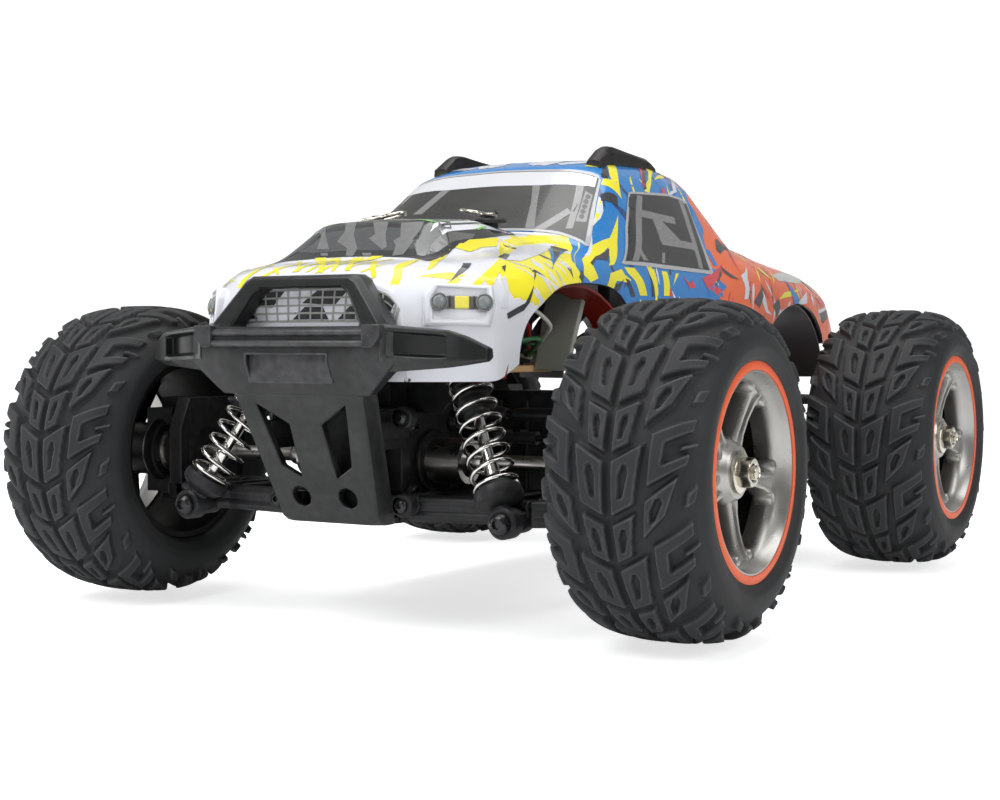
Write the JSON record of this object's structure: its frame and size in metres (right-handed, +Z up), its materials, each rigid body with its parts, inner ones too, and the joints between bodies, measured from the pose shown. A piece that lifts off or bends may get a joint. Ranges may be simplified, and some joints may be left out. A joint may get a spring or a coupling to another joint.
{
  "type": "radio-controlled monster truck",
  "caption": "Four-wheel-drive toy monster truck with sprung arms, steered front wheels, skid bumper and thin painted body shell.",
  "frame": {"origin": "ground point under the middle of the vehicle's bounding box", "axes": "+Z up, -Y the nose, +X the vehicle's left side"},
  "size_m": [0.2302, 0.3012, 0.1421],
  "materials": {
    "tyre": "matte moulded rubber",
    "rim": "satin silver",
    "steel": "bright plated steel",
    "black_plastic": "satin moulded nylon",
    "chassis": "anodised dark plate",
    "deck": "gold tan edge",
    "shell": "glossy multi-colour livery",
    "bumper": "satin moulded nylon",
    "electronics": "moulded cases",
    "battery": "shrink-wrapped cells",
    "motor": "plated can",
    "gear": "moulded gear",
    "spring": "chromed wire",
    "shock": "moulded cap and can",
    "trim": "dark trim"
  },
  "bodies": {
    "root": {"chassis_plate": "chassis", "upper_deck": "deck", "front_gearbox": "black_plastic", "rear_gearbox": "black_plastic", "front_bumper": "bumper", "body_shell": "shell", "body_trim": "trim", "battery_pack": "battery", "drive_motor": "motor", "servo_and_receiver": "electronics"},
    "arm_fl": {"lower_arm_fl": "black_plastic"},
    "carrier_fl": {"hub_carrier_fl": "black_plastic"},
    "wheel_fl": {"tyre_fl": "tyre", "rim_fl": "rim", "axle_fl": "steel"},
    "link_fl": {"upper_link_fl": "black_plastic"},
    "half_shaft_fl": {"half_shaft_fl": "steel"},
    "shock_fl": {"shock_body_fl": "shock", "spring_fl": "spring"},
    "shock_rod_fl": {"shock_rod_fl": "shock"},
    "knuckle_fl": {"knuckle_fl": "black_plastic"},
    "arm_fr": {"lower_arm_fr": "black_plastic"},
    "carrier_fr": {"hub_carrier_fr": "black_plastic"},
    "wheel_fr": {"tyre_fr": "tyre", "rim_fr": "rim", "axle_fr": "steel"},
    "link_fr": {"upper_link_fr": "black_plastic"},
    "half_shaft_fr": {"half_shaft_fr": "steel"},
    "shock_fr": {"shock_body_fr": "shock", "spring_fr": "spring"},
    "shock_rod_fr": {"shock_rod_fr": "shock"},
    "knuckle_fr": {"knuckle_fr": "black_plastic"},
    "arm_rl": {"lower_arm_rl": "black_plastic"},
    "carrier_rl": {"hub_carrier_rl": "black_plastic"},
    "wheel_rl": {"tyre_rl": "tyre", "rim_rl": "rim", "axle_rl": "steel"},
    "link_rl": {"upper_link_rl": "black_plastic"},
    "half_shaft_rl": {"half_shaft_rl": "steel"},
    "shock_rl": {"shock_body_rl": "shock", "spring_rl": "spring"},
    "shock_rod_rl": {"shock_rod_rl": "shock"},
    "arm_rr": {"lower_arm_rr": "black_plastic"},
    "carrier_rr": {"hub_carrier_rr": "black_plastic"},
    "wheel_rr": {"tyre_rr": "tyre", "rim_rr": "rim", "axle_rr": "steel"},
    "link_rr": {"upper_link_rr": "black_plastic"},
    "half_shaft_rr": {"half_shaft_rr": "steel"},
    "shock_rr": {"shock_body_rr": "shock", "spring_rr": "spring"},
    "shock_rod_rr": {"shock_rod_rr": "shock"},
    "rack": {"steering_rack": "black_plastic"},
    "tie_left": {"tie_rod_left": "steel"},
    "tie_right": {"tie_rod_right": "steel"},
    "horn": {"servo_horn": "black_plastic"},
    "front_diff": {"front_diff": "steel"},
    "rear_diff": {"rear_diff": "steel"},
    "centre_shaft": {"centre_shaft": "gear"},
    "motor_shaft": {"motor_pinion": "steel"}
  },
  "joints": [
    {"name": "arm_swing_fl", "type": "hinge", "parent": "root", "child": "arm_fl", "pos_m": [0.021, -0.103, 0.034], "axis": [0, -1, 0], "range_deg": [-5, 12], "stiffness_Nm_per_rad": 1, "springref_deg": -7.45},
    {"name": "carrier_tilt_fl", "type": "hinge", "parent": "arm_fl", "child": "carrier_fl", "pos_m": [0.069, -0.103, 0.034], "axis": [0, -1, 0], "range_deg": [-13, 6]},
    {"name": "link_swing_fl", "type": "hinge", "parent": "root", "child": "link_fl", "pos_m": [0.021, -0.091, 0.058], "axis": [0, -1, 0], "range_deg": [-6, 13]},
    {"name": "half_shaft_swing_fl", "type": "hinge", "parent": "root", "child": "half_shaft_fl", "pos_m": [0.024, -0.103, 0.045], "axis": [0, -1, 0], "range_deg": [-6, 12]},
    {"name": "shock_swing_fl", "type": "hinge", "parent": "root", "child": "shock_fl", "pos_m": [0.029, -0.1104, 0.078], "axis": [-0.5523, -0.8336, 0], "range_deg": [-8, 8]},
    {"name": "shock_stroke_fl", "type": "slide", "parent": "shock_fl", "child": "shock_rod_fl", "axis": [0.4394, -0.2911, -0.8498], "range_m": [-0.0075, 0.0035], "deforming": ["spring_fl"]},
    {"name": "steer_fl", "type": "hinge", "parent": "carrier_fl", "child": "knuckle_fl", "pos_m": [0.077, -0.103, 0.045], "axis": [0, 0, 1], "range_deg": [-20, 20]},
    {"name": "wheel_spin_fl", "type": "hinge", "parent": "knuckle_fl", "child": "wheel_fl", "pos_m": [0.0931, -0.103, 0.045], "axis": [1, 0, 0], "continuous": true},
    {"name": "arm_swing_fr", "type": "hinge", "parent": "root", "child": "arm_fr", "pos_m": [-0.021, -0.103, 0.034], "axis": [0, 1, 0], "range_deg": [-5, 12], "stiffness_Nm_per_rad": 1, "springref_deg": -7.45},
    {"name": "carrier_tilt_fr", "type": "hinge", "parent": "arm_fr", "child": "carrier_fr", "pos_m": [-0.069, -0.103, 0.034], "axis": [0, 1, 0], "range_deg": [-13, 6]},
    {"name": "link_swing_fr", "type": "hinge", "parent": "root", "child": "link_fr", "pos_m": [-0.021, -0.091, 0.058], "axis": [0, 1, 0], "range_deg": [-6, 13]},
    {"name": "half_shaft_swing_fr", "type": "hinge", "parent": "root", "child": "half_shaft_fr", "pos_m": [-0.024, -0.103, 0.045], "axis": [0, 1, 0], "range_deg": [-6, 12]},
    {"name": "shock_swing_fr", "type": "hinge", "parent": "root", "child": "shock_fr", "pos_m": [-0.029, -0.1104, 0.078], "axis": [-0.5523, 0.8336, 0], "range_deg": [-8, 8]},
    {"name": "shock_stroke_fr", "type": "slide", "parent": "shock_fr", "child": "shock_rod_fr", "axis": [-0.4394, -0.2911, -0.8498], "range_m": [-0.0075, 0.0035], "deforming": ["spring_fr"]},
    {"name": "steer_fr", "type": "hinge", "parent": "carrier_fr", "child": "knuckle_fr", "pos_m": [-0.077, -0.103, 0.045], "axis": [0, 0, 1], "range_deg": [-21, 21]},
    {"name": "wheel_spin_fr", "type": "hinge", "parent": "knuckle_fr", "child": "wheel_fr", "pos_m": [-0.0931, -0.103, 0.045], "axis": [1, 0, 0], "continuous": true},
    {"name": "arm_swing_rl", "type": "hinge", "parent": "root", "child": "arm_rl", "pos_m": [0.021, 0.0846, 0.034], "axis": [0, -1, 0], "range_deg": [-5, 12], "stiffness_Nm_per_rad": 1, "springref_deg": -7.45},
    {"name": "carrier_tilt_rl", "type": "hinge", "parent": "arm_rl", "child": "carrier_rl", "pos_m": [0.069, 0.0846, 0.034], "axis": [0, -1, 0], "range_deg": [-13, 6]},
    {"name": "link_swing_rl", "type": "hinge", "parent": "root", "child": "link_rl", "pos_m": [0.021, 0.0726, 0.058], "axis": [0, -1, 0], "range_deg": [-6, 13]},
    {"name": "half_shaft_swing_rl", "type": "hinge", "parent": "root", "child": "half_shaft_rl", "pos_m": [0.024, 0.0846, 0.045], "axis": [0, -1, 0], "range_deg": [-6, 12]},
    {"name": "shock_swing_rl", "type": "hinge", "parent": "root", "child": "shock_rl", "pos_m": [0.029, 0.092, 0.078], "axis": [0.5523, -0.8336, 0], "range_deg": [-8, 8]},
    {"name": "shock_stroke_rl", "type": "slide", "parent": "shock_rl", "child": "shock_rod_rl", "axis": [0.4394, 0.2911, -0.8498], "range_m": [-0.0075, 0.0035], "deforming": ["spring_rl"]},
    {"name": "wheel_spin_rl", "type": "hinge", "parent": "carrier_rl", "child": "wheel_rl", "pos_m": [0.0931, 0.0846, 0.045], "axis": [1, 0, 0], "continuous": true},
    {"name": "arm_swing_rr", "type": "hinge", "parent": "root", "child": "arm_rr", "pos_m": [-0.021, 0.0846, 0.034], "axis": [0, 1, 0], "range_deg": [-5, 12], "stiffness_Nm_per_rad": 1, "springref_deg": -7.45},
    {"name": "carrier_tilt_rr", "type": "hinge", "parent": "arm_rr", "child": "carrier_rr", "pos_m": [-0.069, 0.0846, 0.034], "axis": [0, 1, 0], "range_deg": [-13, 6]},
    {"name": "link_swing_rr", "type": "hinge", "parent": "root", "child": "link_rr", "pos_m": [-0.021, 0.0726, 0.058], "axis": [0, 1, 0], "range_deg": [-6, 13]},
    {"name": "half_shaft_swing_rr", "type": "hinge", "parent": "root", "child": "half_shaft_rr", "pos_m": [-0.024, 0.0846, 0.045], "axis": [0, 1, 0], "range_deg": [-6, 12]},
    {"name": "shock_swing_rr", "type": "hinge", "parent": "root", "child": "shock_rr", "pos_m": [-0.029, 0.092, 0.078], "axis": [0.5523, 0.8336, 0], "range_deg": [-8, 8]},
    {"name": "shock_stroke_rr", "type": "slide", "parent": "shock_rr", "child": "shock_rod_rr", "axis": [-0.4394, 0.2911, -0.8498], "range_m": [-0.0075, 0.0035], "deforming": ["spring_rr"]},
    {"name": "wheel_spin_rr", "type": "hinge", "parent": "carrier_rr", "child": "wheel_rr", "pos_m": [-0.0931, 0.0846, 0.045], "axis": [1, 0, 0], "continuous": true},
    {"name": "rack_slide", "type": "slide", "parent": "root", "child": "rack", "axis": [1, 0, 0], "range_m": [-0.006, 0.006]},
    {"name": "tie_swing_left", "type": "hinge", "parent": "rack", "child": "tie_left", "pos_m": [0.029, -0.087, 0.051], "axis": [0, -1, 0], "range_deg": [-6, 13]},
    {"name": "tie_swing_right", "type": "hinge", "parent": "rack", "child": "tie_right", "pos_m": [-0.029, -0.087, 0.051], "axis": [0, 1, 0], "range_deg": [-6, 13]},
    {"name": "servo_turn", "type": "hinge", "parent": "root", "child": "horn", "pos_m": [-0.019, -0.073, 0.039], "axis": [0, 1, 0], "range_deg": [-29, 29]},
    {"name": "front_diff_spin", "type": "hinge", "parent": "root", "child": "front_diff", "pos_m": [0, -0.103, 0.045], "axis": [1, 0, 0], "continuous": true},
    {"name": "rear_diff_spin", "type": "hinge", "parent": "root", "child": "rear_diff", "pos_m": [0, 0.0846, 0.045], "axis": [1, 0, 0], "continuous": true},
    {"name": "centre_shaft_spin", "type": "hinge", "parent": "root", "child": "centre_shaft", "pos_m": [0, 0, 0.045], "axis": [0, 1, 0], "continuous": true},
    {"name": "motor_spin", "type": "hinge", "parent": "root", "child": "motor_shaft", "pos_m": [0.0198, 0, 0.045], "axis": [0, 1, 0], "continuous": true}
  ],
  "couplings": [
    {"joint": "carrier_tilt_fl", "follows": "arm_swing_fl", "ratio": -1},
    {"joint": "link_swing_fl", "follows": "arm_swing_fl", "ratio": 1},
    {"joint": "half_shaft_swing_fl", "follows": "arm_swing_fl", "ratio": 0.9057},
    {"joint": "shock_swing_fl", "follows": "arm_swing_fl", "ratio": 0.34114},
    {"joint": "shock_stroke_fl", "follows": "arm_swing_fl", "m_per_rad": -0.0268},
    {"joint": "wheel_spin_fl", "follows": "wheel_spin_rl", "ratio": 1},
    {"joint": "carrier_tilt_fr", "follows": "arm_swing_fr", "ratio": -1},
    {"joint": "link_swing_fr", "follows": "arm_swing_fr", "ratio": 1},
    {"joint": "half_shaft_swing_fr", "follows": "arm_swing_fr", "ratio": 0.9057},
    {"joint": "shock_swing_fr", "follows": "arm_swing_fr", "ratio": 0.34114},
    {"joint": "shock_stroke_fr", "follows": "arm_swing_fr", "m_per_rad": -0.0268},
    {"joint": "steer_fr", "follows": "steer_fl", "ratio": 1},
    {"joint": "wheel_spin_fr", "follows": "wheel_spin_rl", "ratio": 1},
    {"joint": "carrier_tilt_rl", "follows": "arm_swing_rl", "ratio": -1},
    {"joint": "link_swing_rl", "follows": "arm_swing_rl", "ratio": 1},
    {"joint": "half_shaft_swing_rl", "follows": "arm_swing_rl", "ratio": 0.9057},
    {"joint": "shock_swing_rl", "follows": "arm_swing_rl", "ratio": 0.34114},
    {"joint": "shock_stroke_rl", "follows": "arm_swing_rl", "m_per_rad": -0.0268},
    {"joint": "carrier_tilt_rr", "follows": "arm_swing_rr", "ratio": -1},
    {"joint": "link_swing_rr", "follows": "arm_swing_rr", "ratio": 1},
    {"joint": "half_shaft_swing_rr", "follows": "arm_swing_rr", "ratio": 0.9057},
    {"joint": "shock_swing_rr", "follows": "arm_swing_rr", "ratio": 0.34114},
    {"joint": "shock_stroke_rr", "follows": "arm_swing_rr", "m_per_rad": -0.0268},
    {"joint": "wheel_spin_rr", "follows": "wheel_spin_rl", "ratio": 1},
    {"joint": "rack_slide", "follows": "steer_fl", "m_per_rad": -0.016},
    {"joint": "tie_swing_left", "follows": "arm_swing_fl", "ratio": 1},
    {"joint": "tie_swing_right", "follows": "arm_swing_fr", "ratio": 1},
    {"joint": "servo_turn", "follows": "steer_fl", "ratio": -1.36},
    {"joint": "front_diff_spin", "follows": "wheel_spin_rl", "ratio": 1},
    {"joint": "rear_diff_spin", "follows": "wheel_spin_rl", "ratio": 1},
    {"joint": "centre_shaft_spin", "follows": "wheel_spin_rl", "ratio": 2.6},
    {"joint": "motor_spin", "follows": "wheel_spin_rl", "ratio": -5.2}
  ]
}
